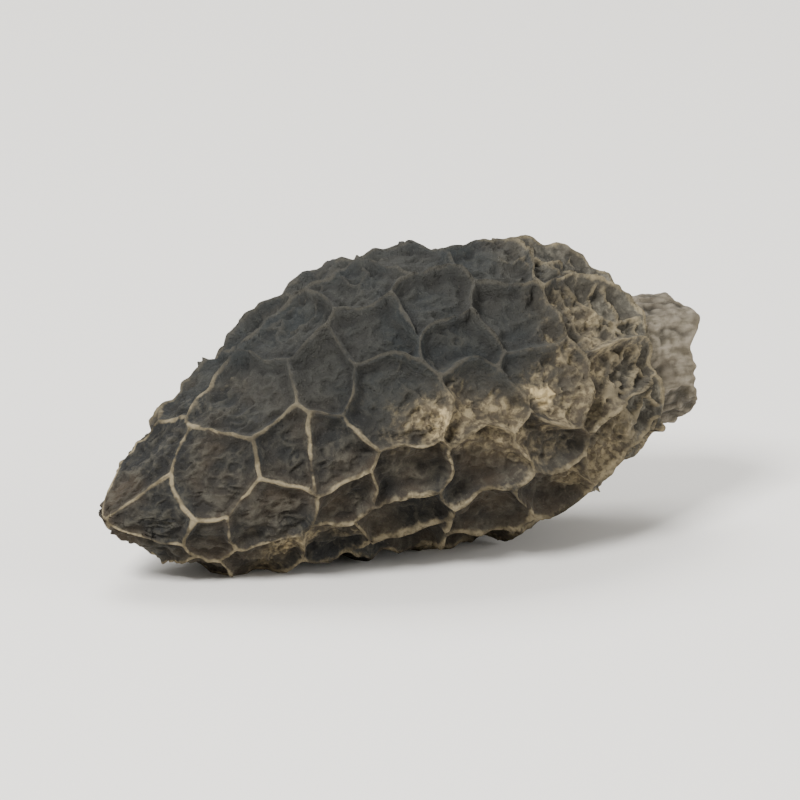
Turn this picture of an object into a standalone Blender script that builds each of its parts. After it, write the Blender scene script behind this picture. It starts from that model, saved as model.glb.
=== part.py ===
# Dried black morel lying on its side, its cut stem towards +X.
# The cap is a hollow egg with a net of raised ridges round deep pits.
# A short cut stem leads into the hollow. All of it is one closed body.

import math
import random

import bmesh
import bpy
import numpy as np
from mathutils import Vector

# Sizes are in millimetres and angles in degrees. The mesh is written in metres.
CAP_LENGTH = 39.2
CAP_RADIUS = 9.7
CAP_WIDTH_SCALE = 1.04
TIP_BLUNTNESS = 0.13
TIP_TAPER = 0.94
BASE_TAPER = 0.66
TOP_HUMP = 0.08

# The middle line's bends, up and down in turn from the tip, and its lean.
TIP_DROOP = 0.8
BELLY_LIFT = 0.9
BACK_DIP = 0.95
BASE_LIFT = 0.7
STEM_BEND = 1.4
TIP_SIDEWAYS = 1.1

# Waves round the axis: count, height, turn, and twist along the cap.
CAP_LOBES = ((2, 0.030, 0.6, 2.1), (3, 0.028, -1.1, -3.4), (5, 0.018, 2.0, 4.0))
STEM_FURROWS = ((2, 0.040, 1.0, 0.0), (3, 0.022, 0.4, 0.0), (7, 0.030, 1.3, 0.0))
RIM_WAVES = ((1, 0.55, -1.2, 0.0), (3, 0.35, 0.0, 0.0), (8, 0.22, 0.7, 0.0))

NET_SEED = 41
PIT_LENGTH = 4.7
PIT_WIDTH = 4.2
PIT_JITTER = 0.24
EDGE_ROW_JITTER = 0.4
PIT_SKIP = 0.05
PIT_SPREAD = 0.010
FIRST_ROW = 2.5
ROW_GRADING = 1.12
LAST_ROW_RADIUS = 7.9
CAP_EDGE_RADIUS = 5.5

PIT_DEPTH = 2.05
TIP_PIT_DEPTH = 0.85
SHALLOWER_AT_BASE = 0.30
SHALLOWER_ON_BACK = 0.22

RIDGE_HALF_WIDTH = 0.30
RIDGE_FOOT = 0.62
RIDGE_WAVE = 0.055
RIDGE_NOTCH = 0.45
EDGE_STEP = 1.0
EDGE_CUTS = 5
SHOULDER_DEPTH = 0.10
WALL_HEIGHT = 0.12
LEAST_SQUARE = 0.55

# How far a ridge's shoulder and foot may reach towards the middle of the pit.
SHOULDER_REACH = 0.26
FOOT_REACH = 0.62

# Depth at the foot as a share of the pit's: at no width, more a millimetre, most.
FOOT_DEPTH = 0.62
FOOT_DEPTH_GROWTH = 0.14
FOOT_DEPTH_MOST = 0.9

# Limits near the thin tip: a share of the cap's radius there, and a least size.
TIP_SHOULDER = (0.15, 0.05)
TIP_FOOT = (0.35, 0.12)
TIP_FLOOR = (0.33, 0.05)

STEM_RADIUS = 4.1
STEM_WALL = 0.8
STEM_END = 38.9
LIP_DEPTH = 0.30
LIP_INSET = 0.32
LIP_SPREAD = 1.14
GROOVE_DEPTH = 0.9
GROOVE_SPREAD = 1.04
RIM_SPREAD = 0.98
RIM_DEPTH = 0.8
BORE_SPREAD = 1.02
BORE_CHAMFER = 0.1

# Rings of the stem: share of the way from groove to rim, and factor on its radius.
STEM_RINGS = ((0.10, 1.02), (0.40, 0.985), (0.75, 0.97))

HOLLOW_RADIUS = 6.4
HOLLOW_TIP = 5.0
HOLLOW_MIDDLE = 20.5
HOLLOW_THROAT = 33.5
HOLLOW_ROUNDNESS = 1.15
HOLLOW_POINT = 5.7
HOLLOW_LEVELS = (38.4, 36.0, HOLLOW_THROAT, 30.5, 27.5, 24.0, HOLLOW_MIDDLE, 16.5, 13.0, 10.0, 7.6)

# Between these the hollow's outline turns from the cap's lobes to the stem's furrows.
FURROWS_START = 30.0
FURROWS_FULL = 36.0

RESTING_TILT = 7.5
FLAT_DEPTH = 0.40
SHARP_ANGLE = 50.0

CAP_COLOUR = (0.055, 0.043, 0.034, 1.0)
CAP_ROUGHNESS = 0.85

MM = 0.001


def clear_scene():
    for obj in list(bpy.data.objects):
        bpy.data.objects.remove(obj, do_unlink=True)


def unit(vectors):
    return vectors / np.linalg.norm(vectors, axis=-1, keepdims=True)


def smooth(low, high, x):
    t = np.clip((x - low) / (high - low), 0.0, 1.0)
    return t * t * (3.0 - 2.0 * t)


# Radius of the cap's envelope, which the ridges reach, at t from tip 0 to base 1.
def egg(t):
    t = np.clip(t, 0.0, 1.0)
    return (t * (t + TIP_BLUNTNESS)) ** (0.5 * TIP_TAPER) * (1.0 - t) ** BASE_TAPER


EGG_MAX = float(egg(np.linspace(0.0, 1.0, 2001)).max())


def cap_radius(s):
    return CAP_RADIUS * egg(s / CAP_LENGTH) / EGG_MAX


# The meridian is followed by an angle psi, with s = length (1 - cos psi) / 2.
# phi is the polar angle that makes the map from the ball to the cap conformal,
# so that pits laid out evenly on the ball keep their shape on the cap.
def conformal_table(count=1200):
    psi = np.linspace(0.0, math.pi, count + 1)[1:-1]
    s = CAP_LENGTH * (1.0 - np.cos(psi)) / 2.0
    r = cap_radius(s)
    arc = np.hypot(np.diff(s), np.diff(r))
    along = np.concatenate([[0.0], np.cumsum(arc)]) + math.hypot(s[0], r[0])
    q = np.concatenate([[0.0], np.cumsum(arc * 2.0 / (r[1:] + r[:-1]))])
    q -= q[int(np.argmax(r))]
    phi = 2.0 * np.arctan(np.exp(q))
    ends = (0.0,), (math.pi,)
    total = along[-1] + r[-1]
    return (
        np.concatenate([ends[0], psi, ends[1]]),
        np.concatenate([ends[0], phi, ends[1]]),
        np.concatenate([ends[0], along, (total,)]),
    )


PSI, PHI, ALONG = conformal_table()


# Sum of cosines round the axis at angle theta and share t of the way along it.
def ripple(waves, theta, t=0.0):
    return sum(height * np.cos(count * theta + turn + twist * t) for count, height, turn, twist in waves)


# Slow swellings and hollows round the cap, as a factor on its radius.
def lobes(s, theta):
    return 1.0 + ripple(CAP_LOBES, theta, s / CAP_LENGTH)


# The middle line droops at the tip, rises over the belly, leans a little to one side,
# and bends down again towards the stem.
def middle(s):
    t = s / CAP_LENGTH
    up = (BELLY_LIFT + TIP_DROOP) * smooth(0.12, 0.50, t) - TIP_DROOP
    up = up - BACK_DIP * smooth(0.40, 0.66, t) + BASE_LIFT * smooth(0.68, 0.95, t)
    up = up - STEM_BEND * smooth(0.80, 1.02, t)
    side = TIP_SIDEWAYS * np.sin(4.2 * t + 0.9)
    return side, up


# A point at radius r and angle theta round the middle line, at s along it.
def around(s, r, theta):
    side, up = middle(s)
    y = CAP_WIDTH_SCALE * r * np.cos(theta) + side
    hump = 1.0 + TOP_HUMP * np.sin(theta) * r / CAP_RADIUS
    z = r * np.sin(theta) * hump + up
    return np.stack([s, y, z], axis=-1)


# The envelope of the cap at directions on the unit ball, tip at +Z of the ball.
def envelope(directions):
    phi = np.arccos(np.clip(directions[:, 2], -1.0, 1.0))
    theta = np.arctan2(directions[:, 1], directions[:, 0])
    s = CAP_LENGTH * (1.0 - np.cos(np.interp(phi, PHI, PSI))) / 2.0
    return around(s, cap_radius(s) * lobes(s, theta), theta)


def envelope_normals(directions):
    helper = np.where(np.abs(directions[:, 2:]) < 0.9, [[0.0, 0.0, 1.0]], [[1.0, 0.0, 0.0]])
    first = unit(np.cross(directions, helper))
    second = np.cross(directions, first)
    step = 0.004
    along_first = envelope(unit(directions + step * first)) - envelope(unit(directions - step * first))
    along_second = envelope(unit(directions + step * second)) - envelope(unit(directions - step * second))
    return unit(np.cross(along_second, along_first))


# How far the wavy ridges stray from the straight net, as a shift on the ball.
def wave(directions):
    x, y, z = directions[:, 0], directions[:, 1], directions[:, 2]
    shift = np.stack(
        [
            np.sin(6.0 * y + 1.3) + 0.6 * np.sin(13.0 * z - 7.0 * y + 0.4),
            np.sin(6.5 * z + 4.1) + 0.6 * np.sin(12.0 * x + 8.0 * z + 2.2),
            np.sin(5.5 * x + 2.7) + 0.6 * np.sin(14.0 * y - 6.0 * x + 5.0),
        ],
        axis=-1,
    )
    return RIDGE_WAVE * shift * (1.0 - z * z)[:, None] ** 0.5


def unwave(targets):
    found = targets.copy()
    for _ in range(6):
        found = unit(targets - wave(found))
    return found


# Depth of the pits and the lowering of the ridge crests, both by place.
def pit_depth(directions):
    phi = np.arccos(np.clip(directions[:, 2], -1.0, 1.0))
    s = CAP_LENGTH * (1.0 - np.cos(np.interp(phi, PHI, PSI))) / 2.0
    t = s / CAP_LENGTH
    back = smooth(0.35, 0.95, directions[:, 1])
    depth = TIP_PIT_DEPTH + (PIT_DEPTH - TIP_PIT_DEPTH) * smooth(0.03, 0.42, t)
    depth = depth * (1.0 - SHALLOWER_AT_BASE * smooth(0.78, 0.95, t))
    return depth * (1.0 - SHALLOWER_ON_BACK * back)


def crest_drop(directions):
    x, y, z = directions[:, 0], directions[:, 1], directions[:, 2]
    notch = np.sin(11.0 * x + 5.0 * z) * np.sin(10.0 * y - 4.0 * z + 1.0)
    notch = notch + 0.5 * np.sin(23.0 * x + 17.0 * y + 19.0 * z)
    return RIDGE_NOTCH * (0.5 + 0.5 * np.clip(notch, -1.0, 1.0))


# Rows of pits follow the meridian, each row turned by half a pit, and stand
# closer towards the tip.
# A site further out than the ball's surface gets a larger pit. The last site
# stands for the stem, far enough out to end the net at the cap's edge.
def pit_middles():
    draw = random.Random(NET_SEED)
    s_table = CAP_LENGTH * (1.0 - np.cos(PSI)) / 2.0
    radii = cap_radius(s_table)
    widest = int(np.argmax(radii))
    last = float(np.interp(-LAST_ROW_RADIUS, -radii[widest:], ALONG[widest:]))
    rows = round((last - FIRST_ROW) / PIT_LENGTH)
    sites = []
    for row in range(rows + 1):
        along = FIRST_ROW + (last - FIRST_ROW) * (row / rows) ** ROW_GRADING
        radius = float(np.interp(along, ALONG, radii))
        count = max(4, round(2.0 * math.pi * radius / PIT_WIDTH))
        for place in range(count):
            jitter_along = draw.uniform(-1.0, 1.0)
            jitter_round = draw.uniform(-1.0, 1.0)
            skipped = draw.random() < PIT_SKIP
            edge_row = row in (0, rows)
            if skipped and not edge_row:
                continue
            loose = PIT_JITTER * (EDGE_ROW_JITTER if edge_row else 1.0)
            theta = 2.0 * math.pi * (place + 0.5 * (row % 2) + loose * jitter_round) / count
            phi = float(np.interp(along + loose * PIT_LENGTH * jitter_along, ALONG, PHI))
            spread = 0.0 if edge_row else PIT_SPREAD * math.sin(phi)
            size = 1.0 + spread * draw.uniform(-1.0, 1.0)
            site = (math.sin(phi) * math.cos(theta), math.sin(phi) * math.sin(theta), math.cos(phi))
            sites.append(tuple(size * part for part in site))
    last_phi = float(np.interp(last, ALONG, PHI))
    edge = float(np.interp(-CAP_EDGE_RADIUS, -radii[widest:], PHI[widest:]))
    sites.append((0.0, 0.0, -math.cos(edge - last_phi) / math.cos(math.pi - edge)))
    return np.array(sites)


# The hull of points on a ball joins neighbours. A ridge crosses each such link,
# and ridges meet in front of each triangle of the hull.
def ridge_net(sites):
    hull = bmesh.new()
    for place, site in enumerate(sites):
        hull.verts.new(site).index = place
    hull.verts.ensure_lookup_table()
    bmesh.ops.convex_hull(hull, input=hull.verts)
    bmesh.ops.triangulate(hull, faces=hull.faces)
    hull.verts.ensure_lookup_table()
    hull.verts.index_update()
    hull.faces.index_update()
    corners = []
    for face in hull.faces:
        a, b, c = (vert.co for vert in face.verts)
        normal = (b - a).cross(c - a).normalized()
        corners.append(normal if normal.dot(a) > 0.0 else -normal)
    order = [None] * len(sites)
    for vert in hull.verts:
        place = int(np.argmin(np.linalg.norm(sites - np.array(vert.co), axis=1)))
        first = vert.link_faces[0]
        loop = [first.index]
        edge = next(e for e in first.edges if vert in e.verts)
        face = first
        while True:
            face = next(f for f in edge.link_faces if f is not face)
            if face is first:
                break
            loop.append(face.index)
            edge = next(e for e in face.edges if vert in e.verts and e is not edge)
        order[place] = loop
    hull.free()
    return np.array([tuple(corner) for corner in corners]), order


# Each ridge between two corners of the net is cut into short steps.
def crest_lines(corners, order):
    points = list(corners)
    steps = {}
    loops = []
    rough = envelope(corners)
    for loop in order:
        ring = []
        for start, end in zip(loop, loop[1:] + loop[:1]):
            key = (min(start, end), max(start, end))
            if key not in steps:
                low, high = corners[key[0]], corners[key[1]]
                length = float(np.linalg.norm(rough[key[0]] - rough[key[1]]))
                cuts = max(1, min(EDGE_CUTS, round(length / EDGE_STEP)))
                inner = []
                for cut in range(1, cuts):
                    blend = low + (high - low) * cut / cuts
                    inner.append(len(points))
                    points.append(blend / np.linalg.norm(blend))
                steps[key] = inner
            between = steps[key] if start == key[0] else steps[key][::-1]
            ring += [start] + between
        loops.append(ring)
    return unwave(np.array(points)), loops


# Collects points and triangles. A band joins two rings, a fan closes one on a tip.
class Builder:
    def __init__(self):
        self.points = []
        self.faces = []

    def add(self, rows):
        first = len(self.points)
        self.points += [tuple(row) for row in rows]
        return list(range(first, len(self.points)))

    def band(self, one, two):
        for a, b, c, d in zip(one, one[1:] + one[:1], two[1:] + two[:1], two):
            self.faces.append((a, b, c))
            self.faces.append((a, c, d))

    def fan(self, ring, tip):
        for a, b in zip(ring, ring[1:] + ring[:1]):
            self.faces.append((a, b, tip))


# A size that keeps to a share of the cap's radius, where that is thin at the tip.
def tip_limit(limit, thin):
    share, least = limit
    return share * thin + least


# A pit: its crest loop, the ridge's shoulder, the foot of its wall, the floor.
def add_pit(build, loop, places, normals, dirs, tops):
    ring = np.array(loop)
    edge, out = places[ring], normals[ring]
    thin = cap_radius(edge[:, 0])
    centre_dir = unit(dirs[ring].mean(axis=0)[None])
    depth = float(pit_depth(centre_dir)[0])
    centre = envelope(centre_dir)[0]
    centre_out = envelope_normals(centre_dir)[0]
    inward = centre - edge
    reach = np.linalg.norm(inward, axis=1)
    inward = inward / reach[:, None]
    along = np.roll(edge, -1, axis=0) - np.roll(edge, 1, axis=0)
    square = np.abs((unit(np.cross(unit(along), out)) * inward).sum(axis=1))
    square = np.clip(square, LEAST_SQUARE, 1.0)
    shoulder = np.minimum(RIDGE_HALF_WIDTH / square, SHOULDER_REACH * reach)
    shoulder = np.minimum(shoulder, tip_limit(TIP_SHOULDER, thin))
    foot = np.minimum((RIDGE_HALF_WIDTH + RIDGE_FOOT) / square, FOOT_REACH * reach)
    foot = np.minimum(foot, tip_limit(TIP_FOOT, thin))
    foot_depth = depth * np.minimum(FOOT_DEPTH + FOOT_DEPTH_GROWTH * reach, FOOT_DEPTH_MOST)
    foot_depth = np.minimum(foot_depth, tip_limit(TIP_FLOOR, thin))
    drop = tops[ring]
    shoulder_depth = drop + np.minimum(SHOULDER_DEPTH, 0.5 * foot_depth)
    foot_depth = np.maximum(foot_depth, drop + WALL_HEIGHT)
    one = build.add(edge + inward * shoulder[:, None] - out * shoulder_depth[:, None])
    two = build.add(edge + inward * foot[:, None] - out * foot_depth[:, None])
    tip = build.add([centre - centre_out * depth])[0]
    build.band(loop, one)
    build.band(one, two)
    build.fan(two, tip)


# Lengthwise furrows of the stem, as a factor on its radius.
def furrows(theta):
    return 1.0 + ripple(STEM_FURROWS, theta)


def cut_rim(theta):
    return STEM_END + ripple(RIM_WAVES, theta)


# The hollow widens as a sine from its tip, and narrows as a squared cosine to the bore.
def hollow_radius(s):
    bore = STEM_RADIUS - STEM_WALL
    up = np.clip((s - HOLLOW_TIP) / (HOLLOW_MIDDLE - HOLLOW_TIP), 0.0, 1.0)
    down = np.clip((s - HOLLOW_MIDDLE) / (HOLLOW_THROAT - HOLLOW_MIDDLE), 0.0, 1.0)
    rising = HOLLOW_RADIUS * np.sin(0.5 * math.pi * up) ** HOLLOW_ROUNDNESS
    falling = bore + (HOLLOW_RADIUS - bore) * np.cos(0.5 * math.pi * down) ** 2
    return np.where(s < HOLLOW_MIDDLE, rising, falling)


# The groove under the cap's edge, the stem, its cut rim, and the hollow behind it.
def add_stem_and_hollow(build, loop, places, normals, dirs):
    ring = np.array(loop)
    edge = places[ring]
    side, up = middle(edge[:, 0])
    theta = np.arctan2(edge[:, 2] - up, (edge[:, 1] - side) / CAP_WIDTH_SCALE)
    turn = 1.0 if np.sum(np.sin(np.roll(theta, -1) - theta)) > 0.0 else -1.0
    count = len(loop)
    even = theta[0] + turn * 2.0 * math.pi * np.arange(count) / count
    drift = np.arctan2(np.sin(theta - even), np.cos(theta - even))
    even = even + drift.mean()
    drift = drift - drift.mean()
    lip = edge[:, 0]
    rings = []
    edge_radius = np.hypot((edge[:, 1] - side) / CAP_WIDTH_SCALE, edge[:, 2] - up)
    lip_radius = np.minimum(edge_radius - LIP_INSET, LIP_SPREAD * STEM_RADIUS)
    rings.append(around(lip - LIP_DEPTH, lip_radius, theta))
    rings.append(around(lip - GROOVE_DEPTH, STEM_RADIUS * GROOVE_SPREAD * furrows(theta), theta))
    for share, spread in STEM_RINGS:
        angle = even + drift * (1.0 - share) ** 2
        start = lip - GROOVE_DEPTH
        s = start + (cut_rim(angle) - start) * share
        rings.append(around(s, STEM_RADIUS * spread * furrows(angle), angle))
    rings.append(around(cut_rim(even), STEM_RADIUS * RIM_SPREAD * furrows(even), even))
    bore = STEM_RADIUS - STEM_WALL
    rings.append(around(cut_rim(even) - BORE_CHAMFER, bore * BORE_SPREAD * furrows(even), even))
    for s in HOLLOW_LEVELS:
        level = np.minimum(s, cut_rim(even) - RIM_DEPTH)
        blend = float(smooth(FURROWS_START, FURROWS_FULL, s))
        shape = furrows(even) * blend + lobes(level, even) * (1.0 - blend)
        rings.append(around(level, hollow_radius(level) * shape, even))
    last = loop
    for points in rings:
        ring_points = build.add(points)
        build.band(last, ring_points)
        last = ring_points
    end = around(np.array([HOLLOW_POINT]), np.zeros(1), np.zeros(1))
    build.fan(last, build.add(end)[0])


# Turned to its resting angle and set on the floor, with its lowest crests flattened.
def lay_down(points):
    tilt = math.radians(RESTING_TILT)
    turned = points.copy()
    turned[:, 0] = points[:, 0] * math.cos(tilt) - points[:, 2] * math.sin(tilt)
    turned[:, 2] = points[:, 0] * math.sin(tilt) + points[:, 2] * math.cos(tilt)
    floor = turned[:, 2].min() + FLAT_DEPTH
    turned[:, 2] = np.maximum(turned[:, 2] - floor, 0.0)
    middle_xy = (turned[:, :2].min(axis=0) + turned[:, :2].max(axis=0)) / 2.0
    turned[:, :2] -= middle_xy
    return turned


def make_material(name, colour, roughness):
    material = bpy.data.materials.new(name)
    material.use_nodes = True
    shader = material.node_tree.nodes["Principled BSDF"]
    shader.inputs["Base Color"].default_value = colour
    shader.inputs["Roughness"].default_value = roughness
    shader.inputs["Metallic"].default_value = 0.0
    return material


def make_morel():
    sites = pit_middles()
    corners, order = ridge_net(sites)
    dirs, loops = crest_lines(corners, order)
    normals = envelope_normals(dirs)
    tops = crest_drop(dirs)
    places = envelope(dirs)
    build = Builder()
    build.add(places - normals * tops[:, None])
    for loop in loops[:-1]:
        add_pit(build, loop, places, normals, dirs, tops)
    add_stem_and_hollow(build, loops[-1], places, normals, dirs)
    points = lay_down(np.array(build.points)) * MM
    mesh = bpy.data.meshes.new("morel")
    bm = bmesh.new()
    verts = [bm.verts.new(Vector(point)) for point in points]
    for face in build.faces:
        bm.faces.new([verts[corner] for corner in face])
    bmesh.ops.recalc_face_normals(bm, faces=bm.faces)
    bm.to_mesh(mesh)
    bm.free()
    mesh.shade_smooth()
    mesh.set_sharp_from_angle(angle=math.radians(SHARP_ANGLE))
    mesh.materials.append(make_material("dried_cap", CAP_COLOUR, CAP_ROUGHNESS))
    morel = bpy.data.objects.new("morel", mesh)
    bpy.context.scene.collection.objects.link(morel)
    return morel


clear_scene()
make_morel()
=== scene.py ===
import math
import random

import bpy
import numpy as np
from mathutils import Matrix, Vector


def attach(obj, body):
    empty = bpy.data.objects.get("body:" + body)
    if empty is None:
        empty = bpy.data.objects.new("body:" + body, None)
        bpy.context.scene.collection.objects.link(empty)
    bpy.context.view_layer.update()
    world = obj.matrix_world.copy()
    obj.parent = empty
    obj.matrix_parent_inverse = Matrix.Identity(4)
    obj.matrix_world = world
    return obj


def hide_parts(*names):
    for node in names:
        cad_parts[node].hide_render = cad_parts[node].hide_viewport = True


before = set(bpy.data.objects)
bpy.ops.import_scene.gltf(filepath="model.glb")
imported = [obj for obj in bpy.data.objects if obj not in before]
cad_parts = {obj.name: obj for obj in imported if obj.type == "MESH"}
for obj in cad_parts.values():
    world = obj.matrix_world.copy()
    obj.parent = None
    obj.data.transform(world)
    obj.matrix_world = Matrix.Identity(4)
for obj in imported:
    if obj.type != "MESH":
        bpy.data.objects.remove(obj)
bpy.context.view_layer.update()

# A dried black morel on its side, its tip towards -X. Surfaces are worked out in
# millimetres and turned to metres when a mesh is written.
millimetre = 0.001
tiny = 1e-6
farAway = 9.0  # more than any gap between sites of the net, or cells of a lattice

# The cap's form, the same as the solid's: s runs along it from the tip, t is s as a
# share of its length, theta turns round it. Spans are where a bend begins and ends in t.
cap = {
    "length": 39.2,
    "radius": 9.7,
    "widthScale": 1.04,
    "tipBluntness": 0.13,
    "tipTaper": 0.94,
    "baseTaper": 0.66,
    "topHump": 0.08,
    "lobes": ((2, 0.030, 0.6, 2.1), (3, 0.028, -1.1, -3.4), (5, 0.018, 2.0, 4.0)),
    "tipDroop": 0.8,
    "bellyLift": 0.9,
    "bellySpan": (0.12, 0.50),
    "backDip": 0.95,
    "backSpan": (0.40, 0.66),
    "baseLift": 0.7,
    "baseSpan": (0.68, 0.95),
    "stemBend": 1.4,
    "stemSpan": (0.80, 1.02),
    "tipSideways": 1.1,
    "sidewaysTurn": (4.2, 0.9),  # radians along the cap, and at its tip
    "restingTilt": 7.5,
    "flatDepth": 0.40,
    "columns": 402,
    "rows": 226,
}


# Each vector over its own length.
def unit(vectors):
    return vectors / np.linalg.norm(vectors, axis=-1, keepdims=True)


# Ease from 0 at low to 1 at high: 3 t squared less 2 t cubed.
def ease(low, high, x):
    t = np.clip((x - low) / (high - low), 0.0, 1.0)
    return t * t * (3.0 - 2.0 * t)


# Sum of cosines round the axis, each with its count, height, turn and twist along t.
def ripple(waves, theta, t):
    return sum(height * np.cos(count * theta + turn + twist * t) for count, height, turn, twist in waves)


# Egg outline: root of t (t + bluntness) near the tip, a power of 1 - t at the base.
def eggOutline(t):
    t = np.clip(t, 0.0, 1.0)
    rise = (t * (t + cap["tipBluntness"])) ** (0.5 * cap["tipTaper"])
    return rise * (1.0 - t) ** cap["baseTaper"]


eggPeak = float(eggOutline(np.linspace(0.0, 1.0, 2001)).max())


# Radius at s: the egg outline, scaled so that its widest place has the cap's radius.
def capRadius(s):
    return cap["radius"] * eggOutline(s / cap["length"]) / eggPeak


# Table of psi, phi and distance along the meridian, with s = length (1 - cos psi) / 2
# and phi = 2 atan(exp(sum of ds / r)), which keeps the shapes of pits on the cap.
def conformalTable(count=1200):
    psi = np.linspace(0.0, math.pi, count + 1)[1:-1]
    s = cap["length"] * (1.0 - np.cos(psi)) / 2.0
    r = capRadius(s)
    arc = np.hypot(np.diff(s), np.diff(r))
    along = np.concatenate([[0.0], np.cumsum(arc)]) + math.hypot(s[0], r[0])
    q = np.concatenate([[0.0], np.cumsum(arc * 2.0 / (r[1:] + r[:-1]))])
    q -= q[int(np.argmax(r))]
    phi = 2.0 * np.arctan(np.exp(q))
    total = along[-1] + r[-1]
    return (
        np.concatenate([[0.0], psi, [math.pi]]),
        np.concatenate([[0.0], phi, [math.pi]]),
        np.concatenate([[0.0], along, [total]]),
    )


psiTable, phiTable, alongTable = conformalTable()


# Radius factor of the cap: 1 plus three slow cosines round it.
def lobes(s, theta):
    return 1.0 + ripple(cap["lobes"], theta, s / cap["length"])


# Middle line: eased rises and dips along t, and a sine to one side.
def middleLine(s):
    t = s / cap["length"]
    up = (cap["bellyLift"] + cap["tipDroop"]) * ease(*cap["bellySpan"], t) - cap["tipDroop"]
    up = up - cap["backDip"] * ease(*cap["backSpan"], t) + cap["baseLift"] * ease(*cap["baseSpan"], t)
    up = up - cap["stemBend"] * ease(*cap["stemSpan"], t)
    turns, start = cap["sidewaysTurn"]
    return cap["tipSideways"] * np.sin(turns * t + start), up


# A point at radius r and angle theta round the middle line, s along it: a circle,
# widened sideways, with its upper half raised by a hump.
def around(s, r, theta):
    side, up = middleLine(s)
    y = cap["widthScale"] * r * np.cos(theta) + side
    hump = 1.0 + cap["topHump"] * np.sin(theta) * r / cap["radius"]
    return np.stack([s, y, r * np.sin(theta) * hump + up], axis=-1)


# For directions on a ball with the tip at its +Z: phi, the arc cosine of z, and the s
# that the table gives for it.
def lengthwise(directions):
    phi = np.arccos(np.clip(directions[:, 2], -1.0, 1.0))
    return phi, cap["length"] * (1.0 - np.cos(np.interp(phi, phiTable, psiTable))) / 2.0


# The surface that the ridges reach: the lobed radius at each direction's s and theta.
def envelope(directions):
    _, s = lengthwise(directions)
    theta = np.arctan2(directions[:, 1], directions[:, 0])
    return around(s, capRadius(s) * lobes(s, theta), theta)


# Normals of that surface: the cross product of its differences along two tangents.
def envelopeNormals(directions, step=0.004):
    nearPole = np.abs(directions[:, 2:]) >= 0.9
    first = unit(np.cross(directions, np.where(nearPole, [[1.0, 0.0, 0.0]], [[0.0, 0.0, 1.0]])))
    slopes = []
    for tangent in (first, np.cross(directions, first)):
        ahead = envelope(unit(directions + step * tangent))
        slopes.append(ahead - envelope(unit(directions - step * tangent)))
    return unit(np.cross(slopes[1], slopes[0]))


# Random value from 0 to 1 for each lattice cell: its whole numbers and the seed times
# large primes, joined by exclusive or, then mixed by shifts and products.
def hashed(cells, seed):
    mixed = (cells[:, 0] * 73856093) ^ (cells[:, 1] * 19349663) ^ (cells[:, 2] * 83492791)
    mixed = (mixed ^ (seed * 2654435761)) & 0xFFFFFFFF
    mixed = ((mixed ^ (mixed >> 15)) * 2246822519) & 0xFFFFFFFF
    mixed = ((mixed ^ (mixed >> 13)) * 3266489917) & 0xFFFFFFFF
    return ((mixed ^ (mixed >> 16)) & 0xFFFF) / 65535.0


# Smooth noise from -1 to 1: random values on a lattice of this size, eased between.
def latticeNoise(points, size, seed):
    scaled = points / size
    base = np.floor(scaled).astype(np.int64)
    part = scaled - base
    part = part * part * (3.0 - 2.0 * part)
    total = np.zeros(len(points))
    for corner in range(8):
        step = np.array([corner & 1, (corner >> 1) & 1, corner >> 2])
        weight = np.where(step == 1, part, 1.0 - part).prod(axis=1)
        total += weight * (2.0 * hashed(base + step, seed) - 1.0)
    return total


# Sum of noises, each with its size in millimetres, seed and share.
def layered(points, layers):
    return sum(share * latticeNoise(points, size, seed) for size, seed, share in layers)


# The same for a shift in space: three noises with seeds that follow each other.
def layeredShift(points, layers):
    turns = [[(size, seed + axis, share) for size, seed, share in layers] for axis in range(3)]
    return np.stack([layered(points, turn) for turn in turns], axis=1)


# Distances to the nearest and second nearest of one random point in each lattice cube.
def cellNoise(points, size, seed):
    scaled = points / size
    base = np.floor(scaled).astype(np.int64)
    first = np.full(len(points), farAway)
    second = np.full(len(points), farAway)
    for offset in np.stack(np.meshgrid([-1, 0, 1], [-1, 0, 1], [-1, 0, 1]), axis=-1).reshape(-1, 3):
        cube = base + offset
        place = cube + np.stack([hashed(cube, seed + turn) for turn in (1, 2, 3)], axis=1)
        gap = np.linalg.norm(scaled - place, axis=1)
        second = np.minimum(second, np.maximum(first, gap))
        first = np.minimum(first, gap)
    return first * size, second * size


# The net of ridges, the same as the solid's, with a crinkle too fine for it. Layers of
# noise are size, seed and share.
net = {
    "seed": 41,
    "pitLength": 4.7,
    "pitWidth": 4.2,
    "jitter": 0.24,
    "edgeJitter": 0.4,
    "skip": 0.05,
    "spread": 0.010,
    "firstRow": 2.5,
    "grading": 1.12,
    "lastRowRadius": 7.9,
    "edgeRadius": 5.5,
    "edgeFrom": 1.9,  # radians from the tip, and the next from the far pole
    "edgeTo": 0.05,
    "edgeHalvings": 26,
    "wave": 0.055,
    "waves": (
        ((0.0, 6.0, 0.0), 1.3, (0.0, -7.0, 13.0), 0.4),
        ((0.0, 0.0, 6.5), 4.1, (12.0, 0.0, 8.0), 2.2),
        ((5.5, 0.0, 0.0), 2.7, (-6.0, 14.0, 0.0), 5.0),
    ),
    "fineWave": 0.6,
    "crinkle": ((1.5, 71, 0.16), (0.65, 74, 0.072)),
    "pitDepth": 2.05,
    "tipPitDepth": 0.85,
    "deepensOver": (0.03, 0.42),
    "shallowerAtBase": 0.30,
    "baseSpan": (0.78, 0.95),
    "shallowerOnBack": 0.22,
    "backSpan": (0.35, 0.95),
    "notch": 0.45,
    "fineNotch": 0.5,
    "notchWaves": (((11.0, 0.0, 5.0), 0.0), ((0.0, 10.0, -4.0), 1.0), ((23.0, 17.0, 19.0), 0.0)),
}


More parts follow.
